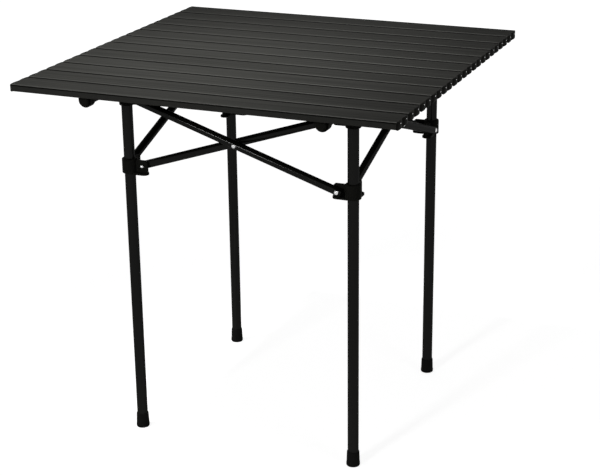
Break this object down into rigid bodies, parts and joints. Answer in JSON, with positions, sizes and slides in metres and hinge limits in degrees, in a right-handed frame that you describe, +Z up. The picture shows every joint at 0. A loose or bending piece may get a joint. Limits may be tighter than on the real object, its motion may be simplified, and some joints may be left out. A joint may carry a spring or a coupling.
{
  "type": "roll top camp table",
  "caption": "Square camp table: a black slatted top on elastic cords that rolls up, set on rails over a scissor-braced frame whose legs fold together.",
  "frame": {"origin": "on the floor, under the centre of the table top", "axes": "+X to the right along the slats, +Y from front to back, +Z up"},
  "size_m": [0.7, 0.6988, 0.7],
  "materials": {
    "slat_finish": "black anodised, satin",
    "tube_paint": "black powder coat on steel tube",
    "moulding": "black moulded nylon",
    "foot_rubber": "black rubber",
    "rivet_steel": "bright zinc-plated steel",
    "cord_cover": "black woven cover over rubber cord"
  },
  "bodies": {
    "front_left_leg": {"leg_front_left": "tube_paint", "foot_front_left": "foot_rubber", "top_hub_front_left": "moulding"},
    "front_right_leg": {"leg_front_right": "tube_paint", "foot_front_right": "foot_rubber", "top_hub_front_right": "moulding"},
    "back_right_leg": {"leg_back_right": "tube_paint", "foot_back_right": "foot_rubber", "top_hub_back_right": "moulding"},
    "back_left_leg": {"leg_back_left": "tube_paint", "foot_back_left": "foot_rubber", "top_hub_back_left": "moulding"},
    "front_left_slider": {"slider_front_left": "moulding"},
    "front_right_slider": {"slider_front_right": "moulding"},
    "back_right_slider": {"slider_back_right": "moulding"},
    "back_left_slider": {"slider_back_left": "moulding"},
    "front_outer_brace": {"brace_front_outer": "tube_paint", "rivets_front_outer": "rivet_steel"},
    "front_inner_brace": {"brace_front_inner": "tube_paint", "rivets_front_inner": "rivet_steel"},
    "right_outer_brace": {"brace_right_outer": "tube_paint", "rivets_right_outer": "rivet_steel"},
    "right_inner_brace": {"brace_right_inner": "tube_paint", "rivets_right_inner": "rivet_steel"},
    "back_outer_brace": {"brace_back_outer": "tube_paint", "rivets_back_outer": "rivet_steel"},
    "back_inner_brace": {"brace_back_inner": "tube_paint", "rivets_back_inner": "rivet_steel"},
    "left_outer_brace": {"brace_left_outer": "tube_paint", "rivets_left_outer": "rivet_steel"},
    "left_inner_brace": {"brace_left_inner": "tube_paint", "rivets_left_inner": "rivet_steel"},
    "top_base": {"rails": "tube_paint", "rail_plugs": "moulding", "rail_clips": "moulding", "shock_cords": "cord_cover", "slat_12": "slat_finish", "slat_caps_12": "moulding"},
    "rolling_slat_01": {"slat_01": "slat_finish", "slat_caps_01": "moulding"},
    "rolling_slat_02": {"slat_02": "slat_finish", "slat_caps_02": "moulding"},
    "rolling_slat_03": {"slat_03": "slat_finish", "slat_caps_03": "moulding"},
    "rolling_slat_04": {"slat_04": "slat_finish", "slat_caps_04": "moulding"},
    "rolling_slat_05": {"slat_05": "slat_finish", "slat_caps_05": "moulding"},
    "rolling_slat_06": {"slat_06": "slat_finish", "slat_caps_06": "moulding"},
    "rolling_slat_07": {"slat_07": "slat_finish", "slat_caps_07": "moulding"},
    "rolling_slat_08": {"slat_08": "slat_finish", "slat_caps_08": "moulding"},
    "rolling_slat_09": {"slat_09": "slat_finish", "slat_caps_09": "moulding"},
    "rolling_slat_10": {"slat_10": "slat_finish", "slat_caps_10": "moulding"},
    "rolling_slat_11": {"slat_11": "slat_finish", "slat_caps_11": "moulding"}
  },
  "joints": [
    {"name": "top_lift", "type": "slide", "parent": "front_left_leg", "child": "top_base", "axis": [0, 0, 1], "range_m": [0, 0.8]},
    {"name": "front_outer_top", "type": "hinge", "parent": "front_left_leg", "child": "front_outer_brace", "pos_m": [-0.19, -0.185, 0.648], "axis": [0, 1, 0], "range_deg": [0, 67.85]},
    {"name": "front_cross", "type": "hinge", "parent": "front_outer_brace", "child": "front_inner_brace", "pos_m": [0, -0.185, 0.5855], "axis": [0, 1, 0], "range_deg": [-135.69, 0]},
    {"name": "front_inner_top", "type": "hinge", "parent": "front_inner_brace", "child": "front_right_leg", "pos_m": [0.19, -0.185, 0.648], "axis": [0, 1, 0], "range_deg": [0, 67.85]},
    {"name": "front_right_slider_pivot", "type": "hinge", "parent": "front_outer_brace", "child": "front_right_slider", "pos_m": [0.19, -0.185, 0.523], "axis": [0, 1, 0], "range_deg": [-67.85, 0]},
    {"name": "front_left_slider_pivot", "type": "hinge", "parent": "front_inner_brace", "child": "front_left_slider", "pos_m": [-0.19, -0.185, 0.523], "axis": [0, 1, 0], "range_deg": [0, 67.85]},
    {"name": "right_outer_top", "type": "hinge", "parent": "front_right_leg", "child": "right_outer_brace", "pos_m": [0.215, -0.16, 0.648], "axis": [-1, 0, 0], "range_deg": [0, 67.85]},
    {"name": "right_cross", "type": "hinge", "parent": "right_outer_brace", "child": "right_inner_brace", "pos_m": [0.215, 0.03, 0.5855], "axis": [-1, 0, 0], "range_deg": [-135.69, 0]},
    {"name": "right_inner_top", "type": "hinge", "parent": "right_inner_brace", "child": "back_right_leg", "pos_m": [0.215, 0.22, 0.648], "axis": [-1, 0, 0], "range_deg": [0, 67.85]},
    {"name": "back_right_slider_pivot", "type": "hinge", "parent": "right_outer_brace", "child": "back_right_slider", "pos_m": [0.215, 0.22, 0.523], "axis": [-1, 0, 0], "range_deg": [-67.85, 0]},
    {"name": "left_inner_top", "type": "hinge", "parent": "front_left_leg", "child": "left_inner_brace", "pos_m": [-0.215, -0.16, 0.648], "axis": [1, 0, 0], "range_deg": [-67.85, 0]},
    {"name": "left_cross", "type": "hinge", "parent": "left_inner_brace", "child": "left_outer_brace", "pos_m": [-0.215, 0.03, 0.5855], "axis": [1, 0, 0], "range_deg": [0, 135.69]},
    {"name": "left_outer_top", "type": "hinge", "parent": "left_outer_brace", "child": "back_left_leg", "pos_m": [-0.215, 0.22, 0.648], "axis": [1, 0, 0], "range_deg": [-67.85, 0]},
    {"name": "back_left_slider_pivot", "type": "hinge", "parent": "left_inner_brace", "child": "back_left_slider", "pos_m": [-0.215, 0.22, 0.523], "axis": [1, 0, 0], "range_deg": [0, 67.85]},
    {"name": "back_outer_top", "type": "hinge", "parent": "back_right_leg", "child": "back_outer_brace", "pos_m": [0.19, 0.245, 0.648], "axis": [0, -1, 0], "range_deg": [0, 67.85]},
    {"name": "back_cross", "type": "hinge", "parent": "back_outer_brace", "child": "back_inner_brace", "pos_m": [0, 0.245, 0.5855], "axis": [0, -1, 0], "range_deg": [-135.69, 0]},
    {"name": "top_roll", "type": "hinge", "parent": "top_base", "child": "rolling_slat_11", "pos_m": [0, 0.2915, 0.7], "axis": [-1, 0, 0], "range_deg": [0, 34], "deforming": ["shock_cords"]},
    {"name": "roll_10", "type": "hinge", "parent": "rolling_slat_11", "child": "rolling_slat_10", "pos_m": [0, 0.2332, 0.7], "axis": [-1, 0, 0], "range_deg": [0, 35.84]},
    {"name": "roll_09", "type": "hinge", "parent": "rolling_slat_10", "child": "rolling_slat_09", "pos_m": [0, 0.1749, 0.7], "axis": [-1, 0, 0], "range_deg": [0, 37.64]},
    {"name": "roll_08", "type": "hinge", "parent": "rolling_slat_09", "child": "rolling_slat_08", "pos_m": [0, 0.1166, 0.7], "axis": [-1, 0, 0], "range_deg": [0, 39.44]},
    {"name": "roll_07", "type": "hinge", "parent": "rolling_slat_08", "child": "rolling_slat_07", "pos_m": [0, 0.0583, 0.7], "axis": [-1, 0, 0], "range_deg": [0, 41.24]},
    {"name": "roll_06", "type": "hinge", "parent": "rolling_slat_07", "child": "rolling_slat_06", "pos_m": [0, 0, 0.7], "axis": [-1, 0, 0], "range_deg": [0, 43.04]},
    {"name": "roll_05", "type": "hinge", "parent": "rolling_slat_06", "child": "rolling_slat_05", "pos_m": [0, -0.0583, 0.7], "axis": [-1, 0, 0], "range_deg": [0, 44.84]},
    {"name": "roll_04", "type": "hinge", "parent": "rolling_slat_05", "child": "rolling_slat_04", "pos_m": [0, -0.1166, 0.7], "axis": [-1, 0, 0], "range_deg": [0, 46.65]},
    {"name": "roll_03", "type": "hinge", "parent": "rolling_slat_04", "child": "rolling_slat_03", "pos_m": [0, -0.1749, 0.7], "axis": [-1, 0, 0], "range_deg": [0, 48.45]},
    {"name": "roll_02", "type": "hinge", "parent": "rolling_slat_03", "child": "rolling_slat_02", "pos_m": [0, -0.2332, 0.7], "axis": [-1, 0, 0], "range_deg": [0, 50.25]},
    {"name": "roll_01", "type": "hinge", "parent": "rolling_slat_02", "child": "rolling_slat_01", "pos_m": [0, -0.2915, 0.7], "axis": [-1, 0, 0], "range_deg": [0, 52.05]}
  ],
  "couplings": [
    {"joint": "front_outer_top", "follows": "top_lift", "rad_per_m": 1.4787},
    {"joint": "front_cross", "follows": "top_lift", "rad_per_m": -2.9574},
    {"joint": "front_inner_top", "follows": "top_lift", "rad_per_m": 1.4787},
    {"joint": "front_right_slider_pivot", "follows": "top_lift", "rad_per_m": -1.4787},
    {"joint": "front_left_slider_pivot", "follows": "top_lift", "rad_per_m": 1.4787},
    {"joint": "right_outer_top", "follows": "top_lift", "rad_per_m": 1.4787},
    {"joint": "right_cross", "follows": "top_lift", "rad_per_m": -2.9574},
    {"joint": "right_inner_top", "follows": "top_lift", "rad_per_m": 1.4787},
    {"joint": "back_right_slider_pivot", "follows": "top_lift", "rad_per_m": -1.4787},
    {"joint": "left_inner_top", "follows": "top_lift", "rad_per_m": -1.4787},
    {"joint": "left_cross", "follows": "top_lift", "rad_per_m": 2.9574},
    {"joint": "left_outer_top", "follows": "top_lift", "rad_per_m": -1.4787},
    {"joint": "back_left_slider_pivot", "follows": "top_lift", "rad_per_m": 1.4787},
    {"joint": "back_outer_top", "follows": "top_lift", "rad_per_m": 1.4787},
    {"joint": "back_cross", "follows": "top_lift", "rad_per_m": -2.9574},
    {"joint": "roll_10", "follows": "top_roll", "ratio": 1.0529},
    {"joint": "roll_09", "follows": "top_roll", "ratio": 1.1059},
    {"joint": "roll_08", "follows": "top_roll", "ratio": 1.1588},
    {"joint": "roll_07", "follows": "top_roll", "ratio": 1.2118},
    {"joint": "roll_06", "follows": "top_roll", "ratio": 1.2647},
    {"joint": "roll_05", "follows": "top_roll", "ratio": 1.3176},
    {"joint": "roll_04", "follows": "top_roll", "ratio": 1.3706},
    {"joint": "roll_03", "follows": "top_roll", "ratio": 1.4235},
    {"joint": "roll_02", "follows": "top_roll", "ratio": 1.4765},
    {"joint": "roll_01", "follows": "top_roll", "ratio": 1.5294}
  ]
}
